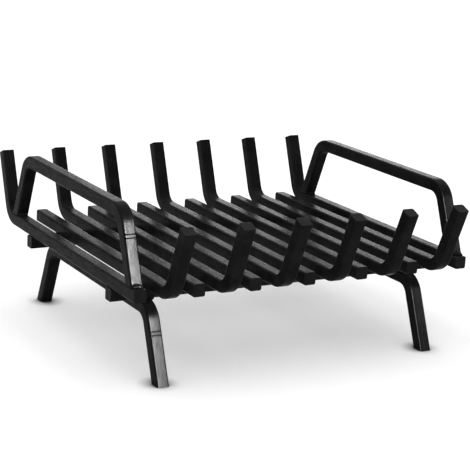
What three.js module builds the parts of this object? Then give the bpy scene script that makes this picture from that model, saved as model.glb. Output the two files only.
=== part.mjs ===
// A welded log grate for an open fireplace, made from one size of square steel bar.
//
// Thirteen grate bars lie front to back, side by side. Every second bar is turned up at the
// back, and the bars between them are turned up at the front, so the two rows of uprights keep
// the logs in. Two rails run across under the bars. Two bent leg frames stand under the rails,
// and a bent loop closes each side of the log bed. Weld beads hold all of it together.
//
// Millimetres. +X is to the right, +Y to the back and +Z up. The origin is on the floor, below
// the middle of the grate.

import * as THREE from "three";

// Stock
const barSide = 16;
const edgeRound = 2.5;
const insideBendRadius = 16;

// Grate bars
const barCount = 13;
const barPitch = 37.5;
const barUnderside = 108;
const flatDepth = 388;            // from the flat front ends to the flat back ends
const uprightLean = 21.5;         // degrees outwards from vertical
const uprightOverhang = 5.4;      // bend corner of the centre line, beyond the flat ends
const uprightLength = 89;         // along the lean, from that corner to the square-cut tip

// Cross rails
const railSetback = 62;           // from the flat ends to a rail's outer face

// Leg frames
const legBarFromSide = 1;         // each frame stands under the second bar from its side
const legSplay = 23;              // degrees outwards from vertical
const legCornerSetback = 50.4;    // bend corner of the centre line, behind the flat ends

// Side loops
const loopRise = 88;              // from the top of a bar to the top of the loop
const loopLean = 22.5;            // degrees inwards from vertical
const loopFootSetback = 8.5;      // outer edge of a post's foot, behind the flat ends

// Joints
const seam = 0.3;                 // welding gap between pieces that meet
const beadLeg = 5;
const beadLength = 13;
const beadEndRound = 1.5;
const beadBulge = 0.72;           // 0.5 is a flat face, 1 is a full corner

// Levels and places that follow
const halfBar = barSide / 2;
const bendRadius = insideBendRadius + halfBar;
const flatEnd = flatDepth / 2;
const barLevel = barUnderside + halfBar;
const barTop = barUnderside + barSide;
const railLevel = barUnderside - seam - halfBar;
const railUnderside = railLevel - halfBar;
const legFrameLevel = railUnderside - seam - halfBar;
const railPlace = flatEnd - railSetback - halfBar;
const lastBar = barCount - 1;
const halfWidth = (lastBar / 2) * barPitch + halfBar;

const paint = { color: 0x1b1c1b, roughness: 0.5, metalness: 0.25 };
const paintedBead = { color: 0x161616, roughness: 0.68, metalness: 0.25 };

const radians = (degrees) => (degrees * Math.PI) / 180;
const vector = (x, y) => new THREE.Vector2(x, y);
const leftOf = (direction) => vector(-direction.y, direction.x);
const barPlace = (index) => (index - lastBar / 2) * barPitch;

// ---------------------------------------------------------------------------------------------
// Bent bars, drawn as the outline of their side and extruded across the width of the bar
// ---------------------------------------------------------------------------------------------

// One side of a bar that follows a centre line: its straight stretches meet in arcs.
// `side` is 1 on the left of the centre line and -1 on its right.
function sideOutline(corners, cuts, side) {
  const directions = corners.slice(1).map((corner, i) => corner.clone().sub(corners[i]).normalize());
  const cornerAtCut = (corner, direction, cut) => {
    const reach = halfBar / cut.dot(leftOf(direction));
    return corner.clone().addScaledVector(cut, side * reach);
  };

  const bends = [];
  for (let i = 1; i < corners.length - 1; i += 1) {
    const before = directions[i - 1];
    const turn = Math.atan2(before.cross(directions[i]), before.dot(directions[i]));
    const hand = Math.sign(turn);
    const tangent = bendRadius * Math.tan(Math.abs(turn) / 2);
    const start = corners[i].clone().addScaledVector(before, -tangent);
    const centre = start.clone().addScaledVector(leftOf(before), hand * bendRadius);
    const radius = bendRadius - side * hand * halfBar;
    const spoke = leftOf(before).multiplyScalar(-hand);
    bends.push({ centre, radius, from: spoke.angle(), to: spoke.angle() + turn, clockwise: hand < 0 });
  }

  return {
    start: cornerAtCut(corners[0], directions[0], cuts[0]),
    bends,
    end: cornerAtCut(corners.at(-1), directions.at(-1), cuts[1]),
  };
}

// The closed outline of a bent bar. `cuts` gives the direction of the cut at each end, and a
// bar without them is cut square.
function bentBarShape(corners, cuts) {
  const squareStart = leftOf(corners[1].clone().sub(corners[0]).normalize());
  const squareEnd = leftOf(corners.at(-1).clone().sub(corners.at(-2)).normalize());
  const ends = cuts ?? [squareStart, squareEnd];
  const left = sideOutline(corners, ends, 1);
  const right = sideOutline(corners, ends, -1);

  const shape = new THREE.Shape();
  shape.moveTo(right.start.x, right.start.y);
  shape.lineTo(left.start.x, left.start.y);
  for (const { centre, radius, from, to, clockwise } of left.bends) {
    shape.absarc(centre.x, centre.y, radius, from, to, clockwise);
  }
  shape.lineTo(left.end.x, left.end.y);
  shape.lineTo(right.end.x, right.end.y);
  for (const { centre, radius, from, to, clockwise } of right.bends.toReversed()) {
    shape.absarc(centre.x, centre.y, radius, to, from, !clockwise);
  }
  return shape;
}

// A solid of the given width whose side outline is the shape, with its long edges rounded.
function roundedSolid(shape, width, round, bendSteps) {
  const depth = width - 2 * round;
  const geometry = new THREE.ExtrudeGeometry(shape, {
    depth,
    curveSegments: bendSteps,
    bevelThickness: round,
    bevelSize: round,
    bevelOffset: -round,
    bevelSegments: 2,
  });
  geometry.translate(0, 0, -depth / 2);
  return geometry;
}

function piece(name, geometry, finish) {
  const mesh = new THREE.Mesh(geometry, new THREE.MeshStandardMaterial(finish));
  mesh.name = name;
  return mesh;
}

// Stands an outline up so that its first axis runs to the back, its second up, and the
// extrusion to the right.
function standFrontToBack(mesh, x) {
  mesh.quaternion.set(0.5, 0.5, 0.5, 0.5);
  mesh.position.x = x;
  return mesh;
}

// Stands an outline up so that its first axis runs to the right and its second up.
function standAcross(mesh, y) {
  mesh.rotation.x = Math.PI / 2;
  mesh.position.y = y;
  return mesh;
}

const barSolid = (shape) => roundedSolid(shape, barSide, edgeRound, 4);

// ---------------------------------------------------------------------------------------------
// Pieces
// ---------------------------------------------------------------------------------------------

// A grate bar has one flat end, and its other end is turned up and leans outwards.
// `turnedUp` is -1 for a bar that is turned up at the front and 1 for one at the back.
function grateBar(index, turnedUp) {
  const lean = radians(uprightLean);
  const corner = vector(turnedUp * (flatEnd + uprightOverhang), barLevel);
  const upright = vector(turnedUp * Math.sin(lean), Math.cos(lean));
  const tip = corner.clone().addScaledVector(upright, uprightLength);
  const shape = bentBarShape([vector(-turnedUp * flatEnd, barLevel), corner, tip]);
  const name = `grate_bar_${String(index + 1).padStart(2, "0")}`;
  return standFrontToBack(piece(name, barSolid(shape), paint), barPlace(index));
}

function crossRail(name, y) {
  const shape = bentBarShape([vector(-halfWidth, railLevel), vector(halfWidth, railLevel)]);
  return standAcross(piece(name, barSolid(shape), paint), y);
}

// An upside-down U with rounded corners. Its two posts are cut level, at the height `foot`.
// `spread` is how far a post's foot lies outside its corner for each unit of height.
function levelFootedU(cornerPlace, cornerLevel, foot, spread) {
  const footPlace = cornerPlace + spread * (cornerLevel - foot);
  const corners = [
    vector(-footPlace, foot),
    vector(-cornerPlace, cornerLevel),
    vector(cornerPlace, cornerLevel),
    vector(footPlace, foot),
  ];
  const levelCuts = [vector(-1, 0), vector(1, 0)];
  return bentBarShape(corners, levelCuts);
}

function legFrame(name, x) {
  const shape = levelFootedU(flatEnd - legCornerSetback, legFrameLevel, 0, Math.tan(radians(legSplay)));
  return standFrontToBack(piece(name, barSolid(shape), paint), x);
}

function sideLoop(name, x) {
  const lean = radians(loopLean);
  const footLevel = barTop + seam;
  const cornerLevel = barTop + loopRise - halfBar;
  const footPlace = flatEnd - loopFootSetback - halfBar / Math.cos(lean);
  const cornerPlace = footPlace - Math.tan(lean) * (cornerLevel - footLevel);
  const shape = levelFootedU(cornerPlace, cornerLevel, footLevel, Math.tan(lean));
  return standFrontToBack(piece(name, barSolid(shape), paint), x);
}

// ---------------------------------------------------------------------------------------------
// Weld beads
// ---------------------------------------------------------------------------------------------

// The section of a bead that fills the corner between two faces. The faces run away from the
// corner along `alongA` and `alongB`, and the bead keeps the welding gap to both.
function beadShape(corner, alongA, alongB) {
  const opening = Math.acos(alongA.dot(alongB));
  const middle = alongA.clone().add(alongB).normalize();
  const root = corner.clone().addScaledVector(middle, seam / Math.sin(opening / 2));
  const toeA = root.clone().addScaledVector(alongA, beadLeg);
  const toeB = root.clone().addScaledVector(alongB, beadLeg);
  const crown = toeA.clone().add(toeB).sub(root).lerp(root, 1 - beadBulge);

  const shape = new THREE.Shape();
  shape.moveTo(root.x, root.y);
  shape.lineTo(toeA.x, toeA.y);
  shape.quadraticCurveTo(crown.x, crown.y, toeB.x, toeB.y);
  shape.lineTo(root.x, root.y);
  return shape;
}

function weldBead(name, corner, alongA, alongB) {
  const shape = beadShape(corner, alongA, alongB);
  const geometry = new THREE.ExtrudeGeometry(shape, {
    depth: beadLength - 2 * beadEndRound,
    curveSegments: 3,
    bevelThickness: beadEndRound,
    bevelSize: beadEndRound / 2,
    bevelOffset: -beadEndRound / 2,
    bevelSegments: 1,
  });
  geometry.translate(0, 0, beadEndRound - beadLength / 2);
  return piece(name, geometry, paintedBead);
}

// Joins a bar to the rail below it, on the rail's inner side. `end` is -1 at the front.
function railBead(end, index) {
  const name = `${end < 0 ? "front" : "rear"}_rail_weld_${String(index + 1).padStart(2, "0")}`;
  const corner = vector(end * (railPlace - halfBar), barUnderside);
  const bead = weldBead(name, corner, vector(-end, 0), vector(0, -1));
  return standFrontToBack(bead, barPlace(index));
}

// Joins a leg frame to the rail above it, on the frame's inner side. `side` is -1 on the left.
function legBead(name, side, end) {
  const frameFace = side * (Math.abs(barPlace(legBarFromSide)) - halfBar);
  const corner = vector(frameFace, railUnderside);
  const bead = weldBead(name, corner, vector(-side, 0), vector(0, -1));
  return standAcross(bead, end * railPlace);
}

// Joins the foot of a loop's post to the bar below it. A front post has its bead on its outer
// side. The bar turns up right behind a rear post, so there the bead is on the inner side.
function loopBead(name, side, end) {
  const lean = radians(loopLean);
  const outerFace = flatEnd - loopFootSetback;
  const innerFace = outerFace - barSide / Math.cos(lean);
  const corner = vector(end * (end < 0 ? outerFace : innerFace), barTop);
  const upThePost = vector(-end * Math.sin(lean), Math.cos(lean));
  const bead = weldBead(name, corner, vector(-1, 0), upThePost);
  return standFrontToBack(bead, side * Math.abs(barPlace(0)));
}

// ---------------------------------------------------------------------------------------------
// The grate
// ---------------------------------------------------------------------------------------------

const bars = new THREE.Group();
for (let index = 0; index < barCount; index += 1) {
  bars.add(grateBar(index, index % 2 === 0 ? 1 : -1));
}

const rails = new THREE.Group();
rails.add(crossRail("front_rail", -railPlace));
rails.add(crossRail("rear_rail", railPlace));

const legFrames = new THREE.Group();
const sideLoops = new THREE.Group();
const beads = new THREE.Group();

for (const end of [-1, 1]) {
  for (let index = 0; index < barCount; index += 1) {
    beads.add(railBead(end, index));
  }
}

for (const side of [-1, 1]) {
  const hand = side < 0 ? "left" : "right";
  legFrames.add(legFrame(`${hand}_leg_frame`, side * Math.abs(barPlace(legBarFromSide))));
  sideLoops.add(sideLoop(`${hand}_side_loop`, side * Math.abs(barPlace(0))));
  for (const end of [-1, 1]) {
    const place = `${hand}_${end < 0 ? "front" : "rear"}`;
    beads.add(legBead(`${place}_leg_weld`, side, end));
    beads.add(loopBead(`${place}_loop_weld`, side, end));
  }
}

const group = new THREE.Group();
group.name = "log_grate";
group.add(bars, rails, legFrames, sideLoops, beads);

export default group;
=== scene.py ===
"""A log grate of black painted square bar, bent and welded, on a pale studio floor."""

import math
import random
from collections import namedtuple

import bpy
from mathutils import Matrix, Vector


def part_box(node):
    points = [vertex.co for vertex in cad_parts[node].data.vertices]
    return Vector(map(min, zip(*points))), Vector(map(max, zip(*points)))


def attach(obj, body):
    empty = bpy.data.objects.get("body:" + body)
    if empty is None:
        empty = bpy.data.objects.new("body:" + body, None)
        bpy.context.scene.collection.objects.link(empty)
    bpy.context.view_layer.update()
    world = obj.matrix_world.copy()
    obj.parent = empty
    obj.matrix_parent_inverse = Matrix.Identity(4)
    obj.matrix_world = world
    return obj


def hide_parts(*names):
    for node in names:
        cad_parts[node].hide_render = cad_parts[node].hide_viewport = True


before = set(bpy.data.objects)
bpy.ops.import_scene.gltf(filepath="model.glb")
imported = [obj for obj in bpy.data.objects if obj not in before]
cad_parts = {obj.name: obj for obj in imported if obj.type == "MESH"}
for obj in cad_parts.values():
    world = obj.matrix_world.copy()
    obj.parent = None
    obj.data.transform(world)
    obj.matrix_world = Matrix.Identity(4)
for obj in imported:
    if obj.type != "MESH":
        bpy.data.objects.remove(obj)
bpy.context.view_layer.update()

MM = 0.001

# --------------------------------------------------------------------------------------
# Sizes
# --------------------------------------------------------------------------------------

# The stock and how it is cut and bent
EDGE_ROUND = 2.5 * MM
CORNER_STEPS = 5
BEND_RADIUS = 24 * MM             # of the centre line
BEND_STEPS = 12
SAWN_EDGE = 0.5 * MM
SAWN_EDGE_STEPS = 2
SAWN_EDGE_ANGLE = math.radians(40)    # an edge that turns more than this is broken
RING_SPACING = 14 * MM            # between the rings of a straight stretch
SAME_PLACE = 0.001 * MM           # vertices this close together are merged
MISS_DECIMALS = 6                 # misses of a stretch that agree so far are equal
BAR_APART = 0.7                   # metres along the paint's pattern from bar to bar

# The bends
UPRIGHT_LEAN = math.radians(21.5)
LEG_SPLAY = math.radians(23)
LOOP_LEAN = math.radians(22.5)

# Welds
BEAD_LENGTH = 14 * MM
BEAD_RADIUS = 4.6 * MM
BEAD_END = 0.82                   # how thick a bead is at its ends, in shares of its middle
BEAD_SUNK = 1.1 * MM              # from the corner out to the middle of the bead
BEAD_GRID = 0.3 * MM              # of the mesh that melts the puddles together
BEAD_SMOOTHING = 0.5
SQUARE_BEAD_SEEDS = (3, 7, 11)
WIDE_BEAD_SEED = 5
NARROW_BEAD_SEED = 9

# The puddles that make a bead's ripples
PUDDLE_COUNT = 9
PUDDLE_STEPS = 20                 # round a puddle's ball
PUDDLE_SIZES = (0.93, 1.05)       # in shares of the bead's radius
PUDDLE_THICKNESS = 0.36           # along the bead, in shares of the puddle's radius
PUDDLE_RISE = 0.2 * MM            # how far a puddle strays in or out of the corner
PUDDLE_SHIFT = 0.15 * MM          # how far it strays along the bead
PUDDLE_TILTS = (20, 34)           # degrees
PUDDLE_SWING = 8                  # degrees to either side

# Spatter
SPATTER_COUNT = 9
SPATTER_STEPS = 10                # round a drop's ball
SPATTER_SIZES = (0.35 * MM, 0.8 * MM)
SPATTER_REACH = (0.8 * MM, 4.5 * MM)  # out from the edge of the bead
SPATTER_SPREAD = 0.42             # to either side, in shares of the bead's length

# The marks that the bending die leaves across the outer face, past each bend
DIE_MARKS = (12.5 * MM, 17 * MM)
DIE_MARK_WIDTH = 1.4 * MM
DIE_MARK_DEPTH = 0.6 * MM
DIE_MARK_SLACK = 0.14 * MM        # a vertex this close to a mark's middle is pressed in
OUTER_FACE_SLACK = 0.5 * MM       # and it has to be this close to the outer face

# Places that follow from the frame
first_low, first_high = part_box("grate_bar_01")
rail_low, rail_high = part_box("front_rail")
bar_side = first_high.x - first_low.x
half_bar = bar_side / 2
bar_level = first_low.z + half_bar
flat_end = -first_low.y
upright_tip = Vector((first_high.y, first_high.z))


# --------------------------------------------------------------------------------------
# Bars
# --------------------------------------------------------------------------------------

def left_of(direction):
    """A quarter turn to the left."""
    return Vector((-direction.y, direction.x))


class Straight:
    """A straight stretch of a bar's centre line, in the bar's own upright plane."""

    def __init__(self, start, end, along):
        self.start = start
        self.direction = (end - start).normalized()
        self.length = (end - start).length
        self.along = along

    def locate(self, point):
        """How far along and how far left of the line a point is, and how far it misses."""
        reach = (point - self.start).dot(self.direction)
        left = (point - self.start).dot(left_of(self.direction))
        miss = max(-reach, reach - self.length, 0)
        return self.along + reach, left, miss


class Bend:
    """A round bend between two straight stretches."""

    def __init__(self, start, direction, turn, along):
        self.hand = math.copysign(1, turn)
        self.turn = turn
        self.centre = start + left_of(direction) * self.hand * BEND_RADIUS
        self.spoke = (start - self.centre).normalized()
        self.length = BEND_RADIUS * abs(turn)
        self.along = along

    def locate(self, point):
        spoke = point - self.centre
        angle = math.atan2(self.spoke.cross(spoke), self.spoke.dot(spoke)) * self.hand
        left = self.hand * (BEND_RADIUS - spoke.length)
        reach = BEND_RADIUS * angle
        miss = max(-reach, reach - self.length, 0)
        return self.along + reach, left, miss


def centre_line(corners):
    """The stretches of a bar that is bent round at its inner corners."""
    stretches = []
    start = corners[0]
    along = 0.0
    for before, corner, after in zip(corners, corners[1:], corners[2:]):
        direction = (corner - before).normalized()
        onward = (after - corner).normalized()
        turn = math.atan2(direction.cross(onward), direction.dot(onward))
        tangent = BEND_RADIUS * math.tan(abs(turn) / 2)
        run = Straight(start, corner - direction * tangent, along)
        bend = Bend(corner - direction * tangent, direction, turn, along + run.length)
        stretches += [run, bend]
        along += run.length + bend.length
        start = corner + onward * tangent
    return stretches + [Straight(start, corners[-1], along)]


def deselect_all():
    bpy.ops.object.select_all(action="DESELECT")


def edit(kind="FACE"):
    bpy.ops.object.mode_set(mode="EDIT")
    bpy.ops.mesh.select_mode(type=kind)


def leave_edit():
    bpy.ops.object.mode_set(mode="OBJECT")


def select_vertices(piece, wanted):
    """Selects the vertices that `wanted` says yes to, and leaves the piece in edit mode."""
    edit("VERT")
    bpy.ops.mesh.select_all(action="DESELECT")
    leave_edit()
    for vertex in piece.data.vertices:
        vertex.select = wanted(vertex)
    edit("VERT")


def close_up(piece):
    """Merges doubles and turns every face outwards."""
    edit()
    bpy.ops.mesh.select_all(action="SELECT")
    bpy.ops.mesh.remove_doubles(threshold=SAME_PLACE)
    bpy.ops.mesh.normals_make_consistent(inside=False)
    leave_edit()


def apply_modifier(piece, kind, **settings):
    modifier = piece.modifiers.new(kind.lower(), kind)
    for setting, value in settings.items():
        setattr(modifier, setting, value)
    bpy.ops.object.modifier_apply(modifier=modifier.name)


class Plane:
    """The upright plane that a bar is bent in: which way is forward, and what is across."""

    def __init__(self, forward, across, middle):
        self.forward = forward
        self.across = across
        self.middle = middle

    def direction(self, flat):
        return self.forward * flat.x + Vector((0, 0, flat.y))

    def place(self, flat):
        return self.direction(flat) + self.across * self.middle

    def flatten(self, place):
        return Vector((place.dot(self.forward), place.z))


def front_to_back(x):
    return Plane(Vector((0, 1, 0)), Vector((1, 0, 0)), x)


def side_to_side(y):
    return Plane(Vector((1, 0, 0)), Vector((0, 1, 0)), y)


def ring_stops(length, marks):
    """Where a straight stretch gets a ring of vertices: evenly, and at the edges of marks."""
    count = max(1, round(length / RING_SPACING))
    stops = [length * step / count for step in range(1, count)]
    for mark in marks:
        stops = [stop for stop in stops if abs(stop - mark) > 2 * DIE_MARK_WIDTH]
        stops += [mark - DIE_MARK_WIDTH / 2, mark, mark + DIE_MARK_WIDTH / 2]
    return sorted(stops) + [length]


def push_bar(plane, corners, marks_at_start=(), marks_at_end=()):
    """Extrudes the rounded square section along the centre line, and spins it at bends."""
    stretches = centre_line(corners)
    first = stretches[0]
    deselect_all()
    facing = plane.direction(first.direction).to_track_quat("Z", "Y").to_euler()
    bpy.ops.mesh.primitive_plane_add(
        size=bar_side, location=plane.place(first.start), rotation=facing)
    bpy.ops.object.transform_apply(location=True, rotation=True, scale=True)
    piece = bpy.context.object
    edit()
    bpy.ops.mesh.bevel(offset=EDGE_ROUND, segments=CORNER_STEPS, affect="VERTICES")
    bpy.ops.mesh.select_all(action="SELECT")
    axis = plane.forward.cross(Vector((0, 0, 1)))
    for stretch in stretches:
        if isinstance(stretch, Bend):
            bpy.ops.mesh.spin(steps=BEND_STEPS, angle=-stretch.turn,
                              center=plane.place(stretch.centre), axis=axis)
            continue
        marks = [stretch.length - mark for mark in marks_at_start] if stretch is first else []
        if stretch is stretches[-1]:
            marks += marks_at_end
        reached = 0.0
        for stop in ring_stops(stretch.length, marks):
            step = plane.direction(stretch.direction) * (stop - reached)
            bpy.ops.mesh.extrude_region_move(TRANSFORM_OT_translate={"value": step})
            reached = stop
    leave_edit()
    close_up(piece)
    return piece, stretches


def press_die_marks(piece, plane, stretch, marks):
    """Presses shallow grooves across the outer face of a post, on the left of its line."""
    inwards = plane.direction(left_of(stretch.direction)) * -DIE_MARK_DEPTH
    for mark in marks:
        def in_groove(vertex):
            along, left, miss = stretch.locate(plane.flatten(vertex.co))
            near = abs(along - stretch.along - mark) < DIE_MARK_SLACK
            return near and miss < half_bar and left > half_bar - OUTER_FACE_SLACK

        select_vertices(piece, in_groove)
        bpy.ops.transform.translate(value=inwards)
        leave_edit()


def cut_level(piece, level):
    """Cuts everything below the level away, and closes the cut."""
    edit()
    bpy.ops.mesh.select_all(action="SELECT")
    bpy.ops.mesh.bisect(plane_co=(0, 0, level), plane_no=(0, 0, 1), use_fill=True,
                        clear_inner=True)
    leave_edit()
    close_up(piece)


def closeness(located):
    """A key that sorts what `locate` gives: by the miss, then by the distance to the line."""
    _, left, miss = located
    return round(miss, MISS_DECIMALS), abs(left)


def measure_along(piece, plane, stretches, apart, cuts):
    """Writes where each vertex would lie if the bar were still straight: across its width,
    along its length and over its depth. The paint's pattern follows it through the bends.
    Also writes how far each vertex is from the nearer of the two sawn cuts."""
    places = []
    gaps = []
    for vertex in piece.data.vertices:
        flat = plane.flatten(vertex.co)
        found = [stretch.locate(flat) for stretch in stretches]
        along, left, _ = min(found, key=closeness)
        across = vertex.co.dot(plane.across) - plane.middle
        places += (across, along + apart, left)
        gaps.append(min((flat - place).dot(inwards) for place, inwards in cuts))
    on_the_bar = piece.data.attributes.new("on_the_bar", "FLOAT_VECTOR", "POINT")
    on_the_bar.data.foreach_set("vector", places)
    from_cut = piece.data.attributes.new("from_cut", "FLOAT", "POINT")
    from_cut.data.foreach_set("value", gaps)


bars_made = []                    # each gets its own stretch of the paint's pattern


def finish_bar(piece, name, plane, stretches, finish, cuts=None):
    """Breaks the sawn edges, smooths the shading and paints the bar. `cuts` are the two
    sawn planes, each a place and the direction into the bar. Without them they are square."""
    first, last = stretches[0], stretches[-1]
    end = last.start + last.direction * last.length
    cuts = cuts or [(first.start, first.direction), (end, -last.direction)]
    apply_modifier(piece, "BEVEL", width=SAWN_EDGE, segments=SAWN_EDGE_STEPS,
                   limit_method="ANGLE", angle_limit=SAWN_EDGE_ANGLE)
    bpy.ops.object.shade_smooth()
    apply_modifier(piece, "WEIGHTED_NORMAL", keep_sharp=True)
    bars_made.append(name)
    measure_along(piece, plane, stretches, BAR_APART * len(bars_made), cuts)
    dress(piece, name, finish)


def dress(piece, name, finish):
    """Names a finished piece, and lets it stand for the CAD node of that name."""
    piece.name = name + "_steel"
    piece.data.name = piece.name
    piece.data.materials.clear()
    piece.data.materials.append(finish)
    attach(piece, "root")
    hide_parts(name)


def grate_bar(name, paint):
    """One flat end, and one end turned up and leaning outwards."""
    low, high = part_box(name)
    middle = (low.x + high.x) / 2
    turned_up = 1 if high.y > -low.y else -1
    tip = Vector((turned_up * (upright_tip.x - half_bar * math.cos(UPRIGHT_LEAN)),
                  upright_tip.y - half_bar * math.sin(UPRIGHT_LEAN)))
    upright = Vector((turned_up * math.sin(UPRIGHT_LEAN), math.cos(UPRIGHT_LEAN)))
    corner = tip - upright * ((tip.y - bar_level) / upright.y)
    plane = front_to_back(middle)
    corners = [Vector((-turned_up * flat_end, bar_level)), corner, tip]
    piece, stretches = push_bar(plane, corners)
    finish_bar(piece, name, plane, stretches, paint)


def cross_rail(name, paint):
    low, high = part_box(name)
    level = (low.z + high.z) / 2
    plane = side_to_side((low.y + high.y) / 2)
    piece, stretches = push_bar(plane, [Vector((low.x, level)), Vector((high.x, level))])
    finish_bar(piece, name, plane, stretches, paint)


def level_footed_bar(name, lean, paint):
    """An upside-down U with round corners, whose two posts are cut level at their feet."""
    low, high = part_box(name)
    plane = front_to_back((low.x + high.x) / 2)
    run_level = high.z - half_bar
    foot = high.y - half_bar / math.cos(lean)
    corner = foot - math.tan(lean) * (run_level - low.z)
    spare = bar_side              # the posts first run this far below their level cut
    sole = Vector((foot + math.tan(lean) * spare, low.z - spare))
    corners = [Vector((-sole.x, sole.y)), Vector((-corner, run_level)),
               Vector((corner, run_level)), sole]
    marks = DIE_MARKS if name.startswith("left") else ()
    piece, stretches = push_bar(plane, corners, marks, marks)
    first, last = stretches[0], stretches[-1]
    press_die_marks(piece, plane, first, [first.length - mark for mark in marks])
    press_die_marks(piece, plane, last, marks)
    cut_level(piece, low.z)
    level_cut = (Vector((0, low.z)), Vector((0, 1)))
    finish_bar(piece, name, plane, stretches, paint, [level_cut, level_cut])


# --------------------------------------------------------------------------------------
# Welds
# --------------------------------------------------------------------------------------

# A bead lies along its own X. One of the two faces that it joins runs along its Y, and the
# other leans away from that by the opening of the corner.

def add_ball(place, size, segments, turn=(0, 0, 0)):
    bpy.ops.mesh.primitive_uv_sphere_add(
        segments=segments, ring_count=segments // 2, radius=1, location=place, rotation=turn)
    bpy.ops.transform.resize(value=size, orient_type="LOCAL")
    bpy.ops.object.transform_apply(location=True, rotation=True, scale=True)
    return bpy.context.object


def join_all(pieces):
    deselect_all()
    for piece in pieces:
        piece.select_set(True)
    bpy.context.view_layer.objects.active = pieces[0]
    bpy.ops.object.join()
    return pieces[0]


def model_bead(opening, seed):
    """Overlapping puddles in a row, melted together, with drops of spatter around them."""
    chance = random.Random(seed)
    second_face = Vector((0, math.cos(opening), math.sin(opening)))
    middle = (Vector((0, 1, 0)) + second_face).normalized()
    deselect_all()
    puddles = []
    for puddle in range(PUDDLE_COUNT):
        share = puddle / (PUDDLE_COUNT - 1)
        along = (share - 0.5) * (BEAD_LENGTH - BEAD_RADIUS)
        taper = BEAD_END + (1 - BEAD_END) * math.sin(math.pi * share)
        radius = BEAD_RADIUS * taper * chance.uniform(*PUDDLE_SIZES)
        place = middle * (BEAD_SUNK + chance.uniform(-PUDDLE_RISE, PUDDLE_RISE))
        place.x = along + chance.uniform(-PUDDLE_SHIFT, PUDDLE_SHIFT)
        tilt = math.radians(chance.uniform(*PUDDLE_TILTS))
        swing = math.radians(chance.uniform(-PUDDLE_SWING, PUDDLE_SWING))
        size = (PUDDLE_THICKNESS * radius, radius, radius)
        puddles.append(add_ball(place, size, PUDDLE_STEPS, (0, tilt, swing)))
    bead = join_all(puddles)
    apply_modifier(bead, "REMESH", mode="VOXEL", voxel_size=BEAD_GRID)
    apply_modifier(bead, "SMOOTH", factor=BEAD_SMOOTHING, iterations=1)

    drops = [bead]
    for _ in range(SPATTER_COUNT):
        face = chance.choice([Vector((0, 1, 0)), second_face])
        size = chance.uniform(*SPATTER_SIZES)
        place = face * (BEAD_RADIUS + chance.uniform(*SPATTER_REACH))
        place.x = chance.uniform(-SPATTER_SPREAD, SPATTER_SPREAD) * BEAD_LENGTH
        deselect_all()
        drops.append(add_ball(place, (size, size, size), SPATTER_STEPS))
    bead = join_all(drops)
    bpy.ops.object.shade_smooth()
    return bead


def place_bead(model, name, corner, first_face, second_face, finish):
    """Copies a modelled bead into the corner between two faces."""
    deselect_all()
    model.select_set(True)
    bpy.context.view_layer.objects.active = model
    bpy.ops.object.duplicate()
    bead = bpy.context.object
    upward = (second_face - first_face * second_face.dot(first_face)).normalized()
    run = first_face.cross(upward)
    turn = Matrix((run, first_face, upward)).transposed()
    bead.matrix_world = Matrix.Translation(corner) @ turn.to_4x4()
    bpy.ops.object.transform_apply(location=True, rotation=True, scale=True)
    dress(bead, name, finish)


def weld_everything(finish):
    """Puts a bead at every crossing of a bar and a rail, and at every leg and loop post."""
    right_angle = math.radians(90)
    square = [model_bead(right_angle, seed) for seed in SQUARE_BEAD_SEEDS]
    wide = model_bead(right_angle + LOOP_LEAN, WIDE_BEAD_SEED)
    narrow = model_bead(right_angle - LOOP_LEAN, NARROW_BEAD_SEED)
    down = Vector((0, 0, -1))
    rail_face = rail_high.y                       # the inner side of the front rail
    loop_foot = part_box("left_side_loop")[1].y     # the outer side of a post's foot
    count = 0
    for name in sorted(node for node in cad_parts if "_weld" in node):
        low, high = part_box(name)
        middle = (low + high) / 2
        end = -1 if "front" in name else 1
        count += 1
        next_square = square[count % len(square)]
        if "rail_weld" in name:
            corner = Vector((middle.x, -end * rail_face, first_low.z))
            place_bead(next_square, name, corner, Vector((0, -end, 0)), down, finish)
        elif "leg_weld" in name:
            side = math.copysign(1, middle.x)
            inner = low.x if side < 0 else high.x
            corner = Vector((inner, middle.y, rail_low.z))
            place_bead(next_square, name, corner, Vector((-side, 0, 0)), down, finish)
        else:
            face = loop_foot if end < 0 else loop_foot - bar_side / math.cos(LOOP_LEAN)
            corner = Vector((middle.x, end * face, first_low.z + bar_side))
            post = Vector((0, -end * math.sin(LOOP_LEAN), math.cos(LOOP_LEAN)))
            model = wide if end < 0 else narrow
            place_bead(model, name, corner, Vector((0, -1, 0)), post, finish)
    for model in square + [wide, narrow]:
        bpy.data.objects.remove(model)


# --------------------------------------------------------------------------------------
# Finishes
# --------------------------------------------------------------------------------------

class Wire:
    """A shader socket that can be used in arithmetic."""

    def __init__(self, finish, socket):
        self.finish = finish
        self.socket = socket

    def __add__(self, other):
        return self.finish.maths("ADD", self, other)

    def __sub__(self, other):
        return self.finish.maths("SUBTRACT", self, other)

    def __rsub__(self, other):
        return self.finish.maths("SUBTRACT", other, self)

    def __mul__(self, other):
        return self.finish.maths("MULTIPLY", self, other)

    __radd__ = __add__
    __rmul__ = __mul__


MIX_SHARE, MIX_FIRST, MIX_SECOND, MIX_RESULT = 0, 6, 7, 2


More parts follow.
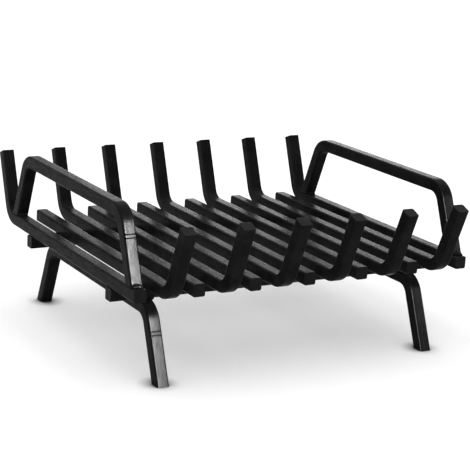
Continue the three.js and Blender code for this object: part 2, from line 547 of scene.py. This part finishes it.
class Finish:
    """The nodes of a material or a world."""

    def __init__(self, owner):
        owner.use_nodes = True
        self.tree = owner.node_tree
        self.tree.nodes.clear()

    def node(self, kind, settings=None, inputs=None, outputs=(0,)):
        """Adds a node. `settings` are set first, then its sockets get values or wires.
        Gives the wire of each output that is asked for, or the wire alone if it is one."""
        node = self.tree.nodes.new(kind)
        for setting, value in (settings or {}).items():
            if setting == "stops":
                self.set_stops(node.color_ramp, value)
            else:
                setattr(node, setting, value)
        for socket, value in (inputs or {}).items():
            if isinstance(value, Wire):
                self.tree.links.new(value.socket, node.inputs[socket])
            else:
                node.inputs[socket].default_value = value
        wires = [Wire(self, node.outputs[output]) for output in outputs]
        return wires[0] if len(wires) == 1 else wires

    @staticmethod
    def set_stops(ramp, stops):
        """A grey ramp from a list of (place, grey)."""
        while len(ramp.elements) < len(stops):
            ramp.elements.new(1.0)
        for element, (place, shade) in zip(ramp.elements, stops):
            element.position = place
            element.color = grey(shade)

    def maths(self, operation, first, second=0.0, clamp=False):
        settings = {"operation": operation, "use_clamp": clamp}
        return self.node("ShaderNodeMath", settings, {0: first, 1: second})

    def noise(self, place, scale, detail, roughness):
        inputs = {"Vector": place, "Scale": scale, "Detail": detail, "Roughness": roughness}
        return self.node("ShaderNodeTexNoise", None, inputs)

    def ramp(self, value, low, high):
        """0 up to the low value, 1 from the high one, and even in between."""
        stops = [(low, 0.0), (high, 1.0)]
        shade = self.node("ShaderNodeValToRGB", {"stops": stops}, {"Fac": value})
        return self.node("ShaderNodeRGBToBW", None, {"Color": shade})

    def pattern(self, place, pattern):
        """Noise with its middle range stretched from 0 to 1."""
        noise = self.noise(place, pattern.scale, pattern.detail, pattern.roughness)
        return self.ramp(noise, pattern.low, pattern.high)

    def blend(self, share, first, second):
        """A colour that goes from the first to the second."""
        inputs = {MIX_SHARE: share, MIX_FIRST: first, MIX_SECOND: second}
        return self.node("ShaderNodeMix", {"data_type": "RGBA"}, inputs, (MIX_RESULT,))

    def bump(self, height, strength, distance, normal=None):
        inputs = {"Height": height, "Strength": strength, "Distance": distance}
        if normal is not None:
            inputs["Normal"] = normal
        return self.node("ShaderNodeBump", None, inputs)

    def seen(self):
        """1 for what the camera sees, straight or in gloss or glass, and 0 for other light."""
        rays = ("Is Camera Ray", "Is Glossy Ray", "Is Transmission Ray")
        camera, glossy, transmission = self.node("ShaderNodeLightPath", outputs=rays)
        return self.maths("ADD", camera + glossy, transmission, clamp=True)

    def output(self, kind, shader):
        self.node(kind, None, {"Surface": shader}, ())

    def close(self, material, colour, roughness, coat, relief):
        """Ends a material's tree with a Principled shader."""
        inputs = {"Base Color": colour, "Roughness": roughness, "Normal": relief,
                  "IOR": PAINT_IOR, "Coat Weight": coat, "Coat IOR": COAT_IOR,
                  "Coat Roughness": COAT_ROUGHNESS}
        shader = self.node("ShaderNodeBsdfPrincipled", None, inputs)
        self.output("ShaderNodeOutputMaterial", shader)
        return material


def grey(level):
    return (level, level, level, 1)


PAINT_DEEP = (0.0070, 0.0079, 0.0074, 1)
PAINT_DULL = (0.0132, 0.0145, 0.0130, 1)
PAINT_THIN = (0.0300, 0.0310, 0.0290, 1)
PAINT_IOR = 1.04
COAT_IOR = 1.06
COAT_ROUGHNESS = 0.26

# The patterns in the paint. `low` and `high` are the noise that becomes 0 and 1
Pattern = namedtuple("Pattern", "scale detail roughness low high")
ROLLED_GRAIN = Pattern(460, 3.0, 0.65, 0.39, 0.61)
MILL_SCALE = Pattern(400, 5.0, 0.75, 0.38, 0.62)
DULL_PATCHES = Pattern(38, 3.0, 0.55, 0.36, 0.66)
WELD_GRIT = Pattern(900, 3.0, 0.6, 0.35, 0.65)
GRAIN_STRETCH = (1, 0.16, 1)
ORANGE_PEEL = (1500, 2.0, 0.5)    # scale, detail and roughness of plain noise
WELD_SOOT = (240, 2.0, 0.5)

# How the patterns stand out: the strength and the height of a bump
PEEL_RELIEF = (0.5, 0.03 * MM)
SCALE_RELIEF = (0.6, 0.09 * MM)
GRAIN_RELIEF = (0.5, 0.08 * MM)
KERF_RELIEF = (0.8, 0.12 * MM)
GRIT_RELIEF = (0.6, 0.05 * MM)

# Thin paint on a bar's long edges, in shares of half its width, and on its sawn ends, in
# shares of the broken edge's width
THIN_STARTS = 0.86
THIN_FULL = 0.95
THIN_RAGGED = 0.9 * MM
THIN_SHOWS = 0.55
SAWN_FULL = 0.9
SAWN_SHOWS = 0.25

# The saw marks on the ends
KERF_SCALE = 260
KERF_WANDER = 1.6
KERF_DETAIL = 2.0

# How rough the paint is and what each pattern adds to that, then the weight of its coat
BAR_ROUGHNESS = 0.21
PATTERN_ROUGHER = 0.05
THIN_SMOOTHER = 0.04
SAWN_ROUGHER = 0.1
LEAST_COAT = 0.05
GRAIN_COAT = 0.65
SCALE_COAT = 0.4
WELD_ROUGHNESS = 0.24
WELD_ROUGHER = 0.12
WELD_COAT = 0.5


def black_bar_paint():
    """Satin black paint over hot-rolled bar. The bar's lengthwise grain and its mill scale
    show through, the paint is thin on the edges, and the sawn ends keep their saw marks."""
    material = bpy.data.materials.new("black_bar_paint")
    finish = Finish(material)
    attribute = "ShaderNodeAttribute"
    on_bar = finish.node(attribute, {"attribute_name": "on_the_bar"}, None, ("Vector",))
    from_cut = finish.node(attribute, {"attribute_name": "from_cut"}, None, ("Fac",))
    stretched = {"Vector": on_bar, "Scale": GRAIN_STRETCH}
    grain = finish.pattern(finish.node("ShaderNodeMapping", None, stretched), ROLLED_GRAIN)
    mill_scale = finish.pattern(on_bar, MILL_SCALE)
    dull = finish.pattern(on_bar, DULL_PATCHES)
    peel = finish.noise(on_bar, *ORANGE_PEEL)

    axes = ("X", "Y", "Z")
    across, _, depth = finish.node("ShaderNodeSeparateXYZ", None, {"Vector": on_bar}, axes)
    beside = finish.maths("ABSOLUTE", across)
    edge = finish.maths("MINIMUM", beside, finish.maths("ABSOLUTE", depth))
    ragged = edge + (mill_scale - 0.5) * THIN_RAGGED
    thin = finish.ramp(ragged * (1 / half_bar), THIN_STARTS, THIN_FULL)
    sawn = 1 - finish.ramp(from_cut * (1 / SAWN_EDGE), SAWN_FULL, 1.0)
    kerf = finish.node("ShaderNodeTexWave", {"bands_direction": "X"},
                       {"Vector": on_bar, "Scale": KERF_SCALE, "Distortion": KERF_WANDER,
                        "Detail": KERF_DETAIL})

    colour = finish.blend(dull, PAINT_DEEP, PAINT_DULL)
    colour = finish.blend(thin * THIN_SHOWS, colour, PAINT_THIN)
    colour = finish.blend(sawn * SAWN_SHOWS, colour, PAINT_THIN)
    roughness = BAR_ROUGHNESS + (grain + dull + mill_scale) * PATTERN_ROUGHER
    roughness = roughness - thin * THIN_SMOOTHER + sawn * SAWN_ROUGHER
    coat = LEAST_COAT + grain * GRAIN_COAT + mill_scale * SCALE_COAT
    relief = finish.bump(peel, *PEEL_RELIEF)
    relief = finish.bump(mill_scale, *SCALE_RELIEF, relief)
    relief = finish.bump(grain, *GRAIN_RELIEF, relief)
    relief = finish.bump(kerf * sawn, *KERF_RELIEF, relief)
    return finish.close(material, colour, roughness, coat, relief)


def painted_weld():
    """Black paint over a rippled weld, with grit and soot in it."""
    material = bpy.data.materials.new("painted_weld")
    finish = Finish(material)
    place = finish.node("ShaderNodeTexCoord", None, None, ("Object",))
    grit = finish.pattern(place, WELD_GRIT)
    soot = finish.noise(place, *WELD_SOOT)
    colour = finish.blend(grit, PAINT_DEEP, PAINT_DULL)
    roughness = WELD_ROUGHNESS + (grit + soot) * WELD_ROUGHER
    coat = WELD_COAT + grit * (1 - WELD_COAT)
    relief = finish.bump(grit, *GRIT_RELIEF)
    return finish.close(material, colour, roughness, coat, relief)


# --------------------------------------------------------------------------------------
# The grate
# --------------------------------------------------------------------------------------

paint = black_bar_paint()
weld_paint = painted_weld()

for name in sorted(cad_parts):
    if name.startswith("grate_bar"):
        grate_bar(name, paint)
    elif name in ("front_rail", "rear_rail"):
        cross_rail(name, paint)
    elif name.endswith("leg_frame"):
        level_footed_bar(name, LEG_SPLAY, paint)
    elif name.endswith("side_loop"):
        level_footed_bar(name, LOOP_LEAN, paint)
weld_everything(weld_paint)

# --------------------------------------------------------------------------------------
# Studio
# --------------------------------------------------------------------------------------

FLOOR_SIZE = 60.0
FLOOR_COLOUR = grey(0.8)
FLOOR_GLOW = 0.25
# A contact shadow painted on the floor near the feet: its colour, its reach, its samples and
# its openness range
PAINTED_CONTACT_SHADOW = grey(0.12)
PAINTED_SHADOW_REACH = 22 * MM
PAINTED_SHADOW_SAMPLES = 16
PAINTED_SHADOW_OPENNESS = (0.5, 0.99)        # openness where the painted contact shadow is darkest and where it ends
WORLD_FILL = 0.25


def pale_floor():
    """A pale floor that keeps shadows, and shows white where nothing shades it. Close to the
    feet that stand on it, a contact shadow is painted into its colour and its glow."""
    material = bpy.data.materials.new("pale_floor")
    finish = Finish(material)
    # Painted contact shadow: where ambient occlusion finds the floor closed in, its colour and
    # its glow turn dark
    openness = finish.node("ShaderNodeAmbientOcclusion", {"samples": PAINTED_SHADOW_SAMPLES},
                           {"Distance": PAINTED_SHADOW_REACH}, ("AO",))
    outside_painted_shadow = finish.ramp(openness, *PAINTED_SHADOW_OPENNESS)
    colour = finish.blend(outside_painted_shadow, PAINTED_CONTACT_SHADOW, FLOOR_COLOUR)
    glow = finish.blend(finish.seen() * outside_painted_shadow, grey(0), grey(1))
    inputs = {"Base Color": colour, "Roughness": 1.0, "Specular IOR Level": 0.0,
              "Emission Color": glow, "Emission Strength": FLOOR_GLOW}
    shader = finish.node("ShaderNodeBsdfPrincipled", None, inputs)
    finish.output("ShaderNodeOutputMaterial", shader)
    return material


deselect_all()
bpy.ops.mesh.primitive_plane_add(size=FLOOR_SIZE, location=(0, 0, 0))
floor = bpy.context.object
floor.name = "studio_floor"
floor.data.materials.append(pale_floor())


def light_the_room():
    """A world that shows white and lights the object like a dimmer pale room."""
    world = bpy.data.worlds.new("studio")
    room = Finish(world)
    strength = WORLD_FILL + room.seen() * (1 - WORLD_FILL)
    backdrop = room.node("ShaderNodeBackground", None, {"Color": grey(1), "Strength": strength})
    room.output("ShaderNodeOutputWorld", backdrop)
    bpy.context.scene.world = world


light_the_room()


def hang_lamp(name, kind, towards_lamp):
    """Adds a lamp that shines away from the direction given."""
    lamp = bpy.data.objects.new(name, bpy.data.lights.new(name, kind))
    bpy.context.scene.collection.objects.link(lamp)
    lamp.rotation_euler = towards_lamp.to_track_quat("Z", "Y").to_euler()
    return lamp


def overhead_light(azimuth, elevation, strength, spread):
    """A wide soft light from above. The angles are in degrees."""
    around, rise = math.radians(azimuth), math.radians(elevation)
    level = Vector((math.sin(around), -math.cos(around), 0)) * math.cos(rise)
    lamp = hang_lamp("overhead_light", "SUN", level + Vector((0, 0, math.sin(rise))))
    lamp.data.energy = strength
    lamp.data.angle = math.radians(spread)


def softbox(name, place, aim, size, watts, lights_only=(), spread=180):
    """A soft lamp that shows in gloss alone. It lights only some pieces where they are
    named, and a narrow spread, in degrees, keeps its light to what it is aimed at."""
    lamp = hang_lamp(name, "AREA", Vector(place) - Vector(aim))
    lamp.location = place
    lamp.visible_camera = False
    lamp.visible_diffuse = False
    lamp.data.shape = "RECTANGLE"
    lamp.data.size, lamp.data.size_y = size
    lamp.data.energy = watts
    lamp.data.spread = math.radians(spread)
    if lights_only:
        lit = bpy.data.collections.new(name + "_lit")
        for piece in lights_only:
            lit.objects.link(bpy.data.objects[piece + "_steel"])
        lamp.light_linking.receiver_collection = lit


LEFT_BOX = {"place": (-0.09, -0.68, 0.34), "size": (0.22, 0.32)}
RIGHT_BOX = {"place": (0.59, -0.63, 0.38), "size": (0.22, 0.32)}
EDGE_BOX = {"place": (-0.33, -0.58, 0.31), "size": (0.3, 0.35)}
REAR_BOX = {"place": (1.95, 2.3, 0.58), "size": (2.2, 0.5)}

overhead_light(azimuth=-120, elevation=85, strength=2.9, spread=105)
softbox("left_leg_softbox", **LEFT_BOX, aim=(-0.22, -0.19, 0.12), watts=260,
        lights_only=("left_leg_frame",))
softbox("left_post_softbox", **LEFT_BOX, aim=(-0.22, -0.19, 0.05), watts=16, spread=36,
        lights_only=("left_side_loop", "left_front_loop_weld"))
softbox("right_softbox", **RIGHT_BOX, aim=(0.22, -0.19, 0.10), watts=6,
        lights_only=("right_side_loop", "right_leg_frame"))
softbox("leg_edge_softbox", **EDGE_BOX, aim=(0.22, -0.19, 0.10), watts=110,
        lights_only=("right_leg_frame",))
softbox("post_edge_softbox", **EDGE_BOX, aim=(0.22, -0.17, -0.01), watts=13, spread=35,
        lights_only=("right_side_loop",))
softbox("rear_softbox", **REAR_BOX, aim=(0, 0, 0.12), watts=13)

# --------------------------------------------------------------------------------------
# Camera
# --------------------------------------------------------------------------------------

CAMERA_PLACE = Vector((-0.94235, -1.65360, 0.61032))
CAMERA_AZIMUTH = math.radians(-29.786)
CAMERA_ELEVATION = math.radians(14.396)
CAMERA_ROLL = math.radians(3.122)
SENSOR = 36                       # mm wide
LENS = 115.25                     # mm
NEAREST, FARTHEST = 0.1, 80       # what the camera sees, in metres


def place_camera():
    """Puts the camera where it was for the photo."""
    around, rise, roll = CAMERA_AZIMUTH, CAMERA_ELEVATION, CAMERA_ROLL
    ahead = Vector((-math.sin(around), math.cos(around), 0))
    forward = ahead * math.cos(rise) - Vector((0, 0, math.sin(rise)))
    level = Vector((math.cos(around), math.sin(around), 0))
    upward = level.cross(forward)
    right = level * math.cos(roll) + upward * math.sin(roll)
    up = upward * math.cos(roll) - level * math.sin(roll)
    camera = bpy.data.objects.new("camera", bpy.data.cameras.new("camera"))
    bpy.context.scene.collection.objects.link(camera)
    camera.data.lens = LENS
    camera.data.sensor_width = SENSOR
    camera.data.clip_start = NEAREST
    camera.data.clip_end = FARTHEST
    camera.rotation_euler = Matrix((right, up, -forward)).transposed().to_euler()
    camera.location = CAMERA_PLACE
    bpy.context.scene.camera = camera


place_camera()
bpy.context.scene.view_settings.view_transform = "Standard"
